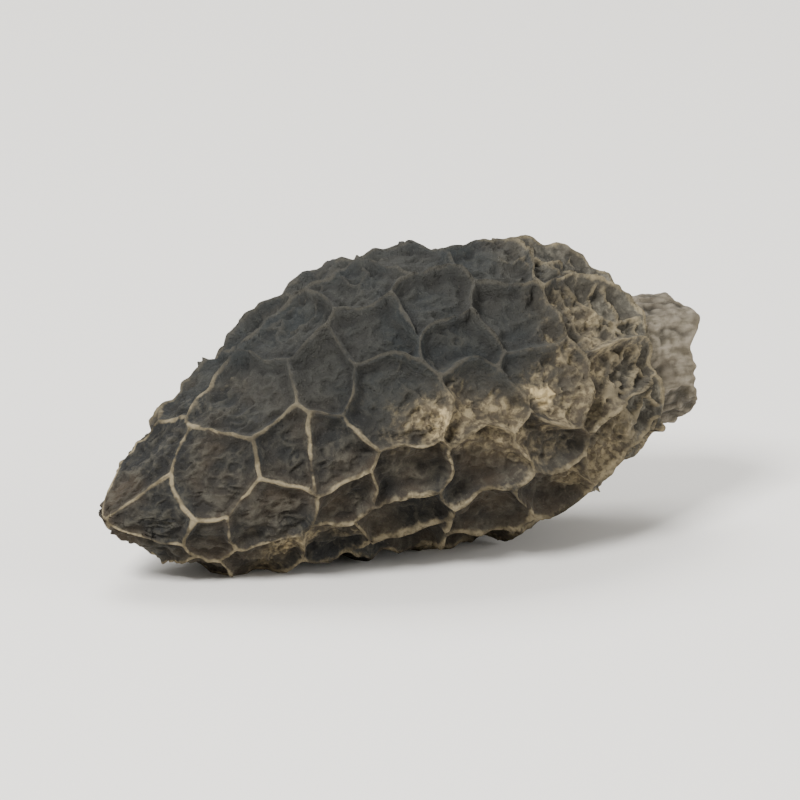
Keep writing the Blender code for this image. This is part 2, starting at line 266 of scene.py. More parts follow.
# Sum of sines that makes the straight net wavy, nothing at the two poles.
def netWave(directions):
    shift = [
        np.sin(directions @ slow + slowTurn) + net["fineWave"] * np.sin(directions @ fast + fastTurn)
        for slow, slowTurn, fast, fastTurn in net["waves"]
    ]
    fade = np.sqrt(np.clip(1.0 - directions[:, 2] ** 2, 0.0, 1.0))
    return net["wave"] * np.stack(shift, axis=-1) * fade[:, None]


# Length on the cap, in millimetres, of one unit on the ball: radius over sin phi. At
# the tip itself, where both are nothing, it is read from a little further along.
def localScale(directions):
    phi, s = lengthwise(directions)
    scale = capRadius(s) / np.maximum(np.sin(phi), tiny)
    return np.where(phi < 0.02, capRadius(s + 0.02) / 0.03, scale)


# Where a direction is looked up in the straight net: moved by the wave and the crinkle.
def netPlace(directions):
    crinkle = layeredShift(envelope(directions), net["crinkle"]) / localScale(directions)[:, None]
    return unit(directions + netWave(directions) + crinkle)


# Rows of pits along the meridian, each turned by half a pit, closer at the tip.
# The last site stands for the stem and ends the net at the cap's edge.
def pitSites():
    draw = random.Random(net["seed"])
    radii = capRadius(cap["length"] * (1.0 - np.cos(psiTable)) / 2.0)
    widest = int(np.argmax(radii))
    last = float(np.interp(-net["lastRowRadius"], -radii[widest:], alongTable[widest:]))
    rows = round((last - net["firstRow"]) / net["pitLength"])
    sites = []
    for row in range(rows + 1):
        along = net["firstRow"] + (last - net["firstRow"]) * (row / rows) ** net["grading"]
        radius = float(np.interp(along, alongTable, radii))
        count = max(4, round(2.0 * math.pi * radius / net["pitWidth"]))
        for place in range(count):
            jitterAlong = draw.uniform(-1.0, 1.0)
            jitterRound = draw.uniform(-1.0, 1.0)
            skipped = draw.random() < net["skip"]
            edgeRow = row in (0, rows)
            if skipped and not edgeRow:
                continue
            loose = net["jitter"] * (net["edgeJitter"] if edgeRow else 1.0)
            theta = 2.0 * math.pi * (place + 0.5 * (row % 2) + loose * jitterRound) / count
            phi = float(np.interp(along + loose * net["pitLength"] * jitterAlong, alongTable, phiTable))
            size = 1.0 + (0.0 if edgeRow else net["spread"] * math.sin(phi)) * draw.uniform(-1.0, 1.0)
            site = (math.sin(phi) * math.cos(theta), math.sin(phi) * math.sin(theta), math.cos(phi))
            sites.append(tuple(size * part for part in site))
    lastPhi = float(np.interp(last, alongTable, phiTable))
    edge = float(np.interp(-net["edgeRadius"], -radii[widest:], phiTable[widest:]))
    sites.append((0.0, 0.0, -math.cos(edge - lastPhi) / math.cos(math.pi - edge)))
    return np.array(sites)


sites = pitSites()
siteGaps = np.linalg.norm(sites[:, None] - sites[None], axis=2) + farAway * np.eye(len(sites))


# Distance to the nearest ridge line: over all other sites, the least of the
# difference of dot products over the gap between sites, in millimetres on the cap.
def ridgeDistance(directions):
    reach = netPlace(directions) @ sites.T
    own = reach.argmax(axis=1)
    margin = (reach.max(axis=1)[:, None] - reach) / siteGaps[own]
    margin[np.arange(len(own)), own] = farAway
    return margin.min(axis=1) * localScale(directions), own, margin.argmin(axis=1)


# Above 0 where a pit's site is nearer than the stem's: the difference of dot products.
def stemMargin(directions):
    reach = netPlace(directions) @ sites.T
    return reach[:, :-1].max(axis=1) - reach[:, -1]


# Depth of pits by place: eased up from the tip, less at the base and on its back.
def pitDepth(directions):
    _, s = lengthwise(directions)
    t = s / cap["length"]
    depth = net["tipPitDepth"] + (net["pitDepth"] - net["tipPitDepth"]) * ease(*net["deepensOver"], t)
    depth = depth * (1.0 - net["shallowerAtBase"] * ease(*net["baseSpan"], t))
    return depth * (1.0 - net["shallowerOnBack"] * ease(*net["backSpan"], directions[:, 1]))


# Notches in the crests, the same as the solid's, from 0 to the notch: the product of
# two slow sines and a share of a finer one.
def crestDrop(directions):
    first, second, fine = (np.sin(directions @ slope + start) for slope, start in net["notchWaves"])
    notch = np.clip(first * second + net["fineNotch"] * fine, -1.0, 1.0)
    return net["notch"] * (0.5 + 0.5 * notch)


# Tilt about Y, settle on the floor with the lowest crests flattened, centre in plan.
def layDown(points, shift=None):
    tilt = math.radians(cap["restingTilt"])
    x = points[:, 0] * math.cos(tilt) - points[:, 2] * math.sin(tilt)
    z = points[:, 0] * math.sin(tilt) + points[:, 2] * math.cos(tilt)
    turned = np.stack([x, points[:, 1], z], axis=1)
    if shift is None:
        low, high = turned.min(axis=0), turned.max(axis=0)
        shift = np.array([(low[0] + high[0]) / 2.0, (low[1] + high[1]) / 2.0, low[2] + cap["flatDepth"]])
    turned = turned - shift
    turned[:, 2] = np.maximum(turned[:, 2], 0.0)
    return turned, shift


# Closed tube from a grid, rows along and columns round, with a fan at each end. Each
# cell is cut along the diagonal that joins its higher corners, so crests stay whole.
# A tube that is inside out, with a volume below 0, has its triangles turned over.
def gridMesh(name, rows, columns, points, tips, lowered, attributes):
    index = np.arange(rows * columns).reshape(rows, columns)
    turned = np.roll(index, -1, axis=1)
    a, b, c, d = (part.ravel() for part in (index[:-1], index[1:], turned[1:], turned[:-1]))
    plain = lowered[a] + lowered[c] <= lowered[b] + lowered[d]
    one = np.stack([a, b, np.where(plain, c, d)], axis=-1)
    two = np.stack([np.where(plain, a, b), c, d], axis=-1)
    startFan = np.stack([np.full(columns, rows * columns), index[0], turned[0]], axis=-1)
    endFan = np.stack([np.full(columns, rows * columns + 1), turned[-1], index[-1]], axis=-1)
    triangles = np.concatenate([one, two, startFan, endFan])
    allPoints = np.concatenate([points, tips]) * millimetre
    first, second, third = (allPoints[triangles[:, corner]] for corner in range(3))
    if (first * np.cross(second, third)).sum() < 0.0:
        triangles = triangles[:, ::-1]
    corners = triangles.ravel().astype(np.int32)
    starts = np.arange(0, len(corners), 3).astype(np.int32)
    mesh = bpy.data.meshes.new(name)
    mesh.vertices.add(len(allPoints))
    mesh.vertices.foreach_set("co", allPoints.astype(np.float32).ravel())
    mesh.loops.add(len(corners))
    mesh.loops.foreach_set("vertex_index", corners)
    mesh.polygons.add(len(starts))
    mesh.polygons.foreach_set("loop_start", starts)
    mesh.polygons.foreach_set("use_smooth", np.ones(len(starts), bool))
    for label, values in attributes.items():
        layer = mesh.attributes.new(label, "FLOAT", "POINT")
        layer.data.foreach_set("value", values.astype(np.float32))
    mesh.update()
    mesh.validate()
    piece = bpy.data.objects.new(name, mesh)
    bpy.context.scene.collection.objects.link(piece)
    return piece


stem = {
    "radius": 4.1,
    "wall": 0.8,
    "end": 38.9,
    "furrows": ((2, 0.040, 1.0, 0.0), (3, 0.022, 0.4, 0.0), (7, 0.030, 1.3, 0.0)),
    "rimWaves": ((1, 0.55, -1.2, 0.0), (3, 0.35, 0.0, 0.0), (8, 0.22, 0.7, 0.0)),
    "tornRim": ((2.1, 51, 0.34), (0.9, 52, 0.26), (0.40, 53, 0.14)),
    "rimRound": 0.30,
    "lipIn": 0.975,
    "boreOut": 1.02,
    "grooveLevel": 34.2,
    "boreLevel": 35.5,
    "hollowRadius": 6.4,
    "hollowTip": 5.0,
    "hollowMiddle": 20.5,
    "hollowThroat": 33.5,
    "hollowPower": 1.15,
    "shapeSpan": (30.0, 36.0),
    "columns": 300,
    "liningRows": 92,
    "boreRows": 15,
    "rimRows": 11,
    "outsideRows": 44,
    "hiddenRows": 16,
    "firstRow": 0.25,
    "flare": 0.05,
    "flareSpan": (0.35, 1.0),
    "smoothSpan": (0.82, 0.98),
    "rimRelief": 0.6,
    "tuck": (0.4, 0.94),  # below the groove, and share of the stem's radius
    "hiddenFrom": 1.2,
    "hiddenTo": 0.6,
    "skinInside": 0.36,
    "tips": (0.05, 0.35),
    "bend": ((1.6, 65, 0.5),),
    "stretch": (0.34, 1.0, 1.0),
    "wrinkles": ((0.95, 61, 1.0), (0.42, 62, 0.5)),
    "wrinkleHeight": 0.27,
    "granuleSize": 0.70,
    "granuleSeed": 63,
    "granuleHeight": 0.34,
    "granuleLevel": 0.5,
    # levels over which the painted shade deep in the hollow fades out towards the bore
    "insideShadeSpan": (20.0, 36.0),
}
bore = stem["radius"] - stem["wall"]


# Radius factor of the stem: 1 plus its slow furrows.
def furrows(theta):
    return 1.0 + ripple(stem["furrows"], theta, 0.0)


# Level of the cut rim round the stem: its end, slow waves, and the tears of noise
# that is read on a circle.
def cutRim(theta):
    circle = np.stack([np.cos(theta), np.sin(theta), np.zeros(len(theta))], axis=1) * 4.0
    return stem["end"] + ripple(stem["rimWaves"], theta, 0.0) + layered(circle, stem["tornRim"])


# Radius of the hollow: a sine up from its tip, then a squared cosine down to the bore.
def hollowRadius(s):
    up = np.clip((s - stem["hollowTip"]) / (stem["hollowMiddle"] - stem["hollowTip"]), 0.0, 1.0)
    down = np.clip((s - stem["hollowMiddle"]) / (stem["hollowThroat"] - stem["hollowMiddle"]), 0.0, 1.0)
    rising = stem["hollowRadius"] * np.sin(0.5 * math.pi * up) ** stem["hollowPower"]
    falling = bore + (stem["hollowRadius"] - bore) * np.cos(0.5 * math.pi * down) ** 2
    return np.where(s < stem["hollowMiddle"], rising, falling)


# Radius factor of the hollow: the cap's lobes, eased into the stem's furrows.
def hollowShape(s, theta):
    blend = ease(*stem["shapeSpan"], s)
    return furrows(theta) * blend + lobes(s, theta) * (1.0 - blend)


# The cap's relief. Heights and widths are in millimetres, a layer of noise is its size,
# seed and share, and a span is where an ease begins and ends.
relief = {
    "seed": 7,
    "pitFactor": (0.88, 1.08),
    "layer": 0.19,
    "gathered": ((0.0, 0.43, 0.57, 1.0), (0.0, 0.10, 0.90, 1.0)),  # from and to
    "gatheredSpan": (0.50, 0.85),
    "mostDepth": (0.33, 0.05),  # share of the cap's radius there, and what is added
    "notchShare": 0.8,
    "teeth": 0.55,
    "teethLayers": ((1.5, 3, 1.0), (0.6, 4, 0.25)),
    "teethRound": 0.12,
    "teethLevel": 0.16,
    "mostDrop": 0.50,
    "ridgeHalfWidth": 0.27,
    "ridgeWidths": ((2.0, 5, 0.45), (0.9, 6, 0.25)),
    "leastHalfWidth": 0.19,
    "mostHalfWidth": (0.09, 0.07),
    "ridgeSharpness": 1.6,
    "wallShare": 0.76,
    "sagSpan": (0.2, 2.2),
    "flatSpan": (0.70, 1.0),
    "bend": ((1.1, 81, 0.45), (0.5, 84, 0.18)),
    "crossCells": (2.3, 11),
    "crossSpan": (0.04, 0.30),
    "crossPatches": (4.5, 12),
    "crossPatchSpan": (-0.10, 0.40),
    "crossAtBase": 0.9,
    "crossAtBaseSpan": (0.60, 0.76),
    "crossHeight": 0.36,
    "crossHeightAtBase": 0.24,
    "crossDepthSpan": (0.5, 1.5),
    "creaseStretch": (0.6, 1.0, 1.0),
    "creases": ((1.15, 15, 0.24, 1.0), (0.62, 18, 0.30, 0.8)),
    "creaseHeight": 0.26,
    "grain": (0.50, 21),
    "fineGrain": ((0.30, 22, 0.5),),
    "grainHeight": 0.13,
    "grainOnWalls": 0.2,
    "hollows": (1.7, 23),
    "hollowDepth": 0.24,
    "wornDepth": 0.22,
    "spikeStep": 0.08,
}

# Wear by place. Heights run from -1 below to 1 above. A bright spot is its place in t,
# its height, its size in millimetres and its strength.
wear = {
    "bandLine": 0.12,
    "bandClimb": 0.30,
    "climbSpan": (0.58, 0.86),
    "waver": ((3.0, 31, 0.10),),
    "bandWidth": 0.22,
    "bandSpread": 0.28,
    "spreadSpan": (0.50, 0.85),
    "bandSpan": (0.32, 0.46),
    "bandLevel": 0.80,
    "mottle": ((1.6, 32, 0.45),),
    "frontSpan": (0.1, 0.5),
    "baseSpan": (0.62, 0.82),
    "fadeAtBase": 0.35,
    "bandStrength": 0.80,
    "patches": (4.5, 33),
    "patchSpan": (0.45, 0.85),
    "patchTop": (0.25, 0.6),
    "patchStart": (0.10, 0.2),
    "patchStrength": 0.55,
    "spots": ((0.24, -0.36, 1.5, 0.45), (0.45, 0.18, 1.2, 0.55), (0.64, 0.26, 0.9, 0.9)),
    "spotWaver": ((0.9, 37, 0.6),),
    "spotSpan": (0.30, 1.4),
    "spotFrontSpan": (0.0, 0.3),
    "spotStrength": 0.7,
    "crumbSize": 0.80,
    "crumbSeed": 35,
    "crumbHeight": 0.34,
    "fineCrumbSize": 0.42,
    "fineCrumbSeed": 36,
    "fineCrumbHeight": 0.30,
    "crumbRange": 0.22,
    "fewerAtBase": 0.3,
    "crumbsAtBase": 0.5,
    "crumbsAtBaseSpan": (0.80, 0.95),
    "upperSpan": (0.12, 0.46),
    "upperWaver": ((4.0, 41, 0.12),),
    "upperEnd": (0.66, 0.82),
    "paleBaseSpan": (0.68, 0.90),
    "paleBaseWaver": ((2.5, 43, 0.05),),
    "crossTanSpan": (0.9, 1.6),
    "furthestFromCrest": 4.0,
}

# What is hidden under the cap's edge: a shoulder, each ring with its dip and its share
# of the way in to the stem, then a throat, then a skin in the wall round the hollow.
underEdge = {
    "shoulder": ((0.08, 0.25), (0.30, 0.6), (0.62, 0.9), (0.92, 1.0)),
    "throatDip": 1.15,
    "throatRadius": 3.7,
    "skinFrom": 32.4,
    "skinTo": 6.0,
    "skinRows": 15,
    "skinInside": 0.30,
    "skinTip": 5.4,
    "tipSunk": 0.12,
}


# Where the net ends: phi at which the nearest site changes to the stem's, by halving.
def capEdgePhi(theta):
    low = np.full(len(theta), net["edgeFrom"])
    high = np.full(len(theta), math.pi - net["edgeTo"])
    for _ in range(net["edgeHalvings"]):
        trial = (low + high) / 2.0
        ring = [np.sin(trial) * np.cos(theta), np.sin(trial) * np.sin(theta), np.cos(trial)]
        outside = stemMargin(np.stack(ring, axis=1)) > 0.0
        low = np.where(outside, trial, low)
        high = np.where(outside, high, trial)
    return low


# Grid of directions, columns round and rows in even steps from the tip to the edge.
def capDirections():
    theta = 2.0 * math.pi * np.arange(cap["columns"]) / cap["columns"]
    edgeAlong = np.interp(capEdgePhi(theta), phiTable, alongTable)
    share = (np.arange(cap["rows"]) + 1.0) / cap["rows"]
    phi = np.interp(edgeAlong[None, :] * share[:, None], alongTable, phiTable)
    full = np.broadcast_to(theta, phi.shape)
    grid = [np.sin(phi) * np.cos(full), np.sin(phi) * np.sin(full), np.cos(phi)]
    return np.stack(grid, axis=-1).reshape(-1, 3)


# Points near a ridge line draw close to the nearest of a few even distances from it,
# so that crests and walls run clean. They never meet, so no cell folds.
def gatherToRidges(directions, lastRow):
    distance, own, other = ridgeDistance(directions)
    share = distance / relief["layer"]
    drawn = np.floor(share) + np.interp(share % 1.0, *relief["gathered"])
    near = 1.0 - ease(*relief["gatheredSpan"], distance)
    shift = (share - drawn) * relief["layer"] * near * ~lastRow
    toward = unit(sites[other] - sites[own]) * (shift / localScale(directions))[:, None]
    return unit(directions + toward)


# Wear from 0 to 1: a band as a bell curve round its line, patches where slow noise is
# high, and round spots. Crumbling follows it and covers the base too.
def capWear(t, high, front, thin, places):
    nearBase = ease(*wear["baseSpan"], t)
    line = wear["bandLine"] + wear["bandClimb"] * ease(*wear["climbSpan"], t)
    line = line + layered(places, wear["waver"])
    width = wear["bandWidth"] + wear["bandSpread"] * ease(*wear["spreadSpan"], t)
    band = np.exp(-(((high - line) / width) ** 2)) * ease(*wear["bandSpan"], t)
    band = band * (wear["bandLevel"] + layered(places, wear["mottle"]))
    band = band * ease(*wear["frontSpan"], front) * (1.0 - wear["fadeAtBase"] * nearBase)
    full, gone = wear["spotSpan"]
    spots = np.zeros(len(t))
    for spotAlong, spotHigh, size, strength in wear["spots"]:
        gap = np.hypot((t - spotAlong) * cap["length"], (high - spotHigh) * thin)
        gap = gap + layered(places, wear["spotWaver"])
        spot = strength * (1.0 - ease(full * size, gone * size, gap))
        spots = np.maximum(spots, spot * ease(*wear["spotFrontSpan"], front))
    patches = ease(*wear["patchSpan"], latticeNoise(places, *wear["patches"]))
    patches = patches * (1.0 - ease(*wear["patchTop"], high)) * ease(*wear["patchStart"], t)
    worn = wear["bandStrength"] * band + wear["patchStrength"] * patches + wear["spotStrength"] * spots
    worn = np.clip(worn, 0.0, 1.0)
    crumbled = worn * (1.0 - wear["fewerAtBase"] * nearBase)
    crumbled = crumbled + wear["crumbsAtBase"] * ease(*wear["crumbsAtBaseSpan"], t)
    return worn, np.clip(crumbled, 0.0, 1.0), spots, nearBase


# No point of the grid stands further out than the second highest of its neighbours,
# but for a small step, so that a ridge may run through it but no spike stands alone.
def trimSpikes(lowered):
    padded = np.concatenate([lowered[:1], lowered, lowered[-1:]])
    shifts = [(up, turn) for up in (0, 1, 2) for turn in (-1, 0, 1) if (up, turn) != (1, 0)]
    rows = len(lowered)
    neighbours = np.stack([np.roll(padded[up:up + rows], turn, axis=1) for up, turn in shifts])
    return np.maximum(lowered, np.sort(neighbours, axis=0)[1] - relief["spikeStep"])


# Rings under the cap's edge: on a shoulder ring the radius is the edge's plus a share
# of its difference from the stem's, and in the wall it is the hollow's plus a little.
def ringsUnderEdge(edge):
    side, up = middleLine(edge[:, 0])
    y = (edge[:, 1] - side) / cap["widthScale"]
    z = edge[:, 2] - up
    angle = np.arctan2(z, y)
    edgeRadius = np.hypot(y, z)
    lip = edge[:, 0]
    foot = stem["boreOut"] * stem["radius"] * furrows(angle)
    rings = []
    for dip, share in underEdge["shoulder"]:
        rings.append(around(lip - dip, edgeRadius + (foot - edgeRadius) * share, angle))
    rings.append(around(lip - underEdge["throatDip"], underEdge["throatRadius"] * furrows(angle), angle))
    for s in np.linspace(underEdge["skinFrom"], underEdge["skinTo"], underEdge["skinRows"]):
        level = np.full(len(angle), s)
        radius = (hollowRadius(level) + underEdge["skinInside"]) * hollowShape(level, angle)
        rings.append(around(level, radius, angle))
    return rings


# Cap skin. Each point is the envelope less its depth: crest, steep wall, then a floor
# that sags to the middle, with cross ridges, creases, grain and crumbs on it.
def makeCapSkin():
    columns, rows = cap["columns"], cap["rows"]
    lastRow = np.arange(rows * columns) >= (rows - 1) * columns
    directions = gatherToRidges(capDirections(), lastRow)
    distance, own, _ = ridgeDistance(directions)
    distance = np.where(lastRow, 0.0, distance)
    _, s = lengthwise(directions)
    thin = capRadius(s)
    t = s / cap["length"]
    high = directions[:, 1]
    places = envelope(directions)
    draw = random.Random(relief["seed"])
    pitFactor = np.array([draw.uniform(*relief["pitFactor"]) for _ in sites])
    share, least = relief["mostDepth"]
    depth = np.minimum(pitDepth(directions) * pitFactor[own], share * thin + least)

    # teeth: noise with its creases rounded, as the root of n squared + round squared
    teeth = sum(
        share * np.hypot(latticeNoise(places, size, seed), relief["teethRound"])
        for size, seed, share in relief["teethLayers"]
    )
    drop = relief["notchShare"] * crestDrop(directions) + relief["teeth"] * (teeth - relief["teethLevel"])
    drop = np.clip(drop, 0.0, relief["mostDrop"] * depth)

    # a thin blade: 1 - exp(-(distance / width) to a power), then a floor that sags
    width = relief["ridgeHalfWidth"] * (1.0 + layered(places, relief["ridgeWidths"]))
    share, least = relief["mostHalfWidth"]
    width = np.minimum(np.maximum(width, relief["leastHalfWidth"]), share * thin + least)
    wall = 1.0 - np.exp(-((distance / width) ** relief["ridgeSharpness"]))
    sag = ease(*relief["sagSpan"], distance)
    fall = relief["wallShare"] * wall + (1.0 - relief["wallShare"]) * sag

    # low cross ridges part some of the pits, and finer creases line the floors
    bent = places + layeredShift(places, relief["bend"])
    nearest, second = cellNoise(bent, *relief["crossCells"])
    some = ease(*relief["crossPatchSpan"], latticeNoise(places, *relief["crossPatches"]))
    some = np.maximum(some, relief["crossAtBase"] * ease(*relief["crossAtBaseSpan"], t))
    crossRidge = (1.0 - ease(*relief["crossSpan"], second - nearest)) * some * wall
    drawnOut = bent * np.array(relief["creaseStretch"])
    crease = np.zeros(len(t))
    for size, seed, halfWidth, strength in relief["creases"]:
        line = 1.0 - ease(0.0, halfWidth, np.abs(latticeNoise(drawnOut, size, seed)))
        crease = np.maximum(crease, strength * line)
    grain = latticeNoise(bent, *relief["grain"]) + layered(places, relief["fineGrain"])
    worn, crumbled, spots, nearBase = capWear(t, high, -directions[:, 0], thin, places)
    crumb, _ = cellNoise(bent, wear["crumbSize"], wear["crumbSeed"])
    fineCrumb, _ = cellNoise(places, wear["fineCrumbSize"], wear["fineCrumbSeed"])
    crumbs = wear["crumbHeight"] * (crumb - 0.5 * wear["crumbSize"])
    crumbs = crumbs + wear["fineCrumbHeight"] * (fineCrumb - 0.5 * wear["fineCrumbSize"])

    lowered = drop + (depth - drop) * fall
    crossHeight = relief["crossHeight"] + relief["crossHeightAtBase"] * nearBase
    lowered = lowered - crossHeight * crossRidge * ease(*relief["crossDepthSpan"], depth)
    flat = ease(*relief["flatSpan"], wall)
    lowered = lowered - relief["creaseHeight"] * crease * flat
    onWalls = relief["grainOnWalls"]
    lowered = lowered + relief["grainHeight"] * grain * (onWalls + (1.0 - onWalls) * flat)
    hollows = latticeNoise(places, *relief["hollows"]) * wall * np.minimum(1.0, depth)
    lowered = lowered + relief["hollowDepth"] * hollows
    lowered = lowered - relief["wornDepth"] * worn * fall * depth + crumbled * crumbs
    lowered = trimSpikes(np.maximum(lowered, 0.0).reshape(rows, columns)).ravel()
    lowered = np.where(lastRow, drop, lowered)
    skin = places - envelopeNormals(directions) * lowered[:, None]

    # what the colours follow: values on the cap, and one value for all that is hidden
    upper = ease(*wear["upperSpan"], high + layered(places, wear["upperWaver"]))
    masks = {
        "fromCrest": (np.minimum(distance / width, wear["furthestFromCrest"]), 1.5),
        "crossRidge": (crossRidge * ease(*wear["crossTanSpan"], depth), 0.0),
        "crease": (crease, 0.0),
        "crumbs": (np.clip(0.5 - crumbs / wear["crumbRange"], 0.0, 1.0), 0.5),
        "worn": (worn, 0.3),
        "bright": (spots, 0.0),
        "upper": (upper * (1.0 - ease(*wear["upperEnd"], t)), 0.0),
        "base": (ease(*wear["paleBaseSpan"], t + layered(places, wear["paleBaseWaver"])), 1.0),
    }
    rings = ringsUnderEdge(skin.reshape(rows, columns, 3)[-1])
    hidden = np.concatenate(rings)
    attributes = {
        label: np.concatenate([seen, np.full(len(hidden), unseen), [seen[:columns].mean(), 0.0]])
        for label, (seen, unseen) in masks.items()
    }
    tip = envelope(np.array([[0.0, 0.0, 1.0]])) + np.array([[underEdge["tipSunk"], 0.0, 0.0]])
    innerTip = around(np.array([underEdge["skinTip"]]), np.zeros(1), np.zeros(1))
    lowered = np.concatenate([lowered, np.zeros(len(hidden))])
    points = np.concatenate([skin, hidden])
    return points, np.concatenate([tip, innerTip]), lowered, attributes, rows + len(rings)


# Stem and lining. Rows run from the hollow's tip out through the bore, over the cut
# rim as half a circle, back along the furrowed outside and into the cap's wall,
# hidden, to the tip. Wrinkles stretched lengthwise and round granules swell the skin.
def makeStemSkin():
    columns = stem["columns"]
    theta = 2.0 * math.pi * np.arange(columns) / columns
    shape = furrows(theta)
    rim = cutRim(theta) - stem["rimRound"]
    inner, outer = stem["boreOut"] * bore, stem["lipIn"] * stem["radius"]
    groove, start = stem["grooveLevel"], stem["boreLevel"]
    rings = []  # level, radius, 1 on the lining and 0 outside, share of the relief

    for s in np.linspace(stem["hollowTip"] + stem["firstRow"], start, stem["liningRows"]):
        level = np.full(columns, s)
        rings.append((level, hollowRadius(level) * hollowShape(level, theta), 1.0, 1.0))
    for share in np.linspace(0.0, 1.0, stem["boreRows"])[1:]:
        rings.append((start + (rim - start) * share, (bore + (inner - bore) * share) * shape, 1.0, 1.0))
    for turn in np.linspace(0.0, math.pi, stem["rimRows"])[1:-1]:
        radius = (inner + outer) / 2.0 - (outer - inner) / 2.0 * math.cos(turn)
        level = rim + stem["rimRound"] * math.sin(turn)
        rings.append((level, radius * shape, 0.5, stem["rimRelief"]))
    for share in np.linspace(0.0, 1.0, stem["outsideRows"])[1:]:
        radius = stem["radius"] * (stem["lipIn"] + stem["flare"] * ease(*stem["flareSpan"], share))
        rough = 1.0 - ease(*stem["smoothSpan"], share)
        rings.append((rim + (groove - rim) * share, radius * shape, 0.0, rough))
    dip, share = stem["tuck"]
    rings.append((np.full(columns, groove - dip), share * stem["radius"] * shape, 0.0, 0.0))
    first, last = groove - stem["hiddenFrom"], stem["hollowTip"] + stem["hiddenTo"]
    for s in np.linspace(first, last, stem["hiddenRows"]):
        level = np.full(columns, s)
        radius = (hollowRadius(level) + stem["skinInside"]) * hollowShape(level, theta)
        rings.append((level, radius, 1.0, 0.0))

    level = np.concatenate([ring[0] for ring in rings])
    radius = np.concatenate([ring[1] for ring in rings])
    inside = np.repeat([ring[2] for ring in rings], columns)
    share = np.repeat([float(ring[3]) for ring in rings], columns)
    angle = np.tile(theta, len(rings))
    plain = around(level, radius, angle)
    bent = plain + layeredShift(plain, stem["bend"])
    wrinkle = layered(bent * np.array(stem["stretch"]), stem["wrinkles"])
    nearest, _ = cellNoise(bent, stem["granuleSize"], stem["granuleSeed"])
    granule = stem["granuleLevel"] - np.clip(nearest, 0.0, stem["granuleSize"])
    swell = stem["wrinkleHeight"] * wrinkle + stem["granuleHeight"] * granule
    outward = np.where(inside == 1.0, -1.0, 1.0)
    points = around(level, radius + outward * share * swell, angle)
    tips = around(stem["hollowTip"] + np.array(stem["tips"]), np.zeros(2), np.zeros(2))

    # what the colours follow, each with its value at the two tips
    masks = {
        "inside": (inside, 1.0),
        # the wrinkles, whose creases also take painted shade
        "wrinkle": (np.clip(0.5 + 0.4 * wrinkle, 0.0, 1.0), 0.5),
        "granule": (np.clip(0.5 + 1.2 * granule, 0.0, 1.0), 0.5),
        # painted shade: 1 deep in the hollow, fading to 0 towards the bore's mouth
        "paintedShadeDeepInside": (1.0 - ease(*stem["insideShadeSpan"], level), 1.0),
    }
    attributes = {label: np.append(seen, [atTip, atTip]) for label, (seen, atTip) in masks.items()}
    return points, tips, attributes, len(rings)


# sRGB hex to linear: each part over 12.92 when small, otherwise the 2.4 power curve.
def linear(hexColour):
    parts = [int(hexColour[place:place + 2], 16) / 255.0 for place in (1, 3, 5)]
    turned = [part / 12.92 if part <= 0.04045 else ((part + 0.055) / 1.055) ** 2.4 for part in parts]
    return (*turned, 1.0)


# Adds a node, its settings by name and its inputs: a value, a socket to link, or a node
# whose first live output is linked.
def addNode(tree, kind, inputs=None, **settings):
    node = tree.nodes.new("ShaderNode" + kind)
    for label, value in settings.items():
        setattr(node, label, value)
    for label, value in (inputs or {}).items():
        if isinstance(value, bpy.types.Node):
            value = next(output for output in value.outputs if output.enabled)
        if isinstance(value, bpy.types.NodeSocket):
            tree.links.new(value, node.inputs[label])
        else:
            node.inputs[label].default_value = value
    return node


# A material and its empty node tree.
def newMaterial(name):
    material = bpy.data.materials.new(name)
    material.use_nodes = True
    material.node_tree.nodes.clear()
    return material, material.node_tree


# The shader and its output. Roughness follows a pattern, and each bump, with its
# pattern, height in millimetres and strength, lies on the one before.
def finishMaterial(tree, colour, made, finish):
    pattern, low, high, start, end = finish["roughness"]
    rough = addNode(tree, "MapRange", {0: made[pattern], 1: low, 2: high, 3: start, 4: end})
    inputs = {"Base Color": colour, "Roughness": rough, "Specular IOR Level": finish["specular"]}
    under = {}
    for pattern, height, strength in finish["bumps"]:
        bump = {"Height": made[pattern], "Distance": height * millimetre, "Strength": strength}
        under = {"Normal": addNode(tree, "Bump", bump | under)}
    addNode(tree, "OutputMaterial", {"Surface": addNode(tree, "BsdfPrincipled", inputs | under)})


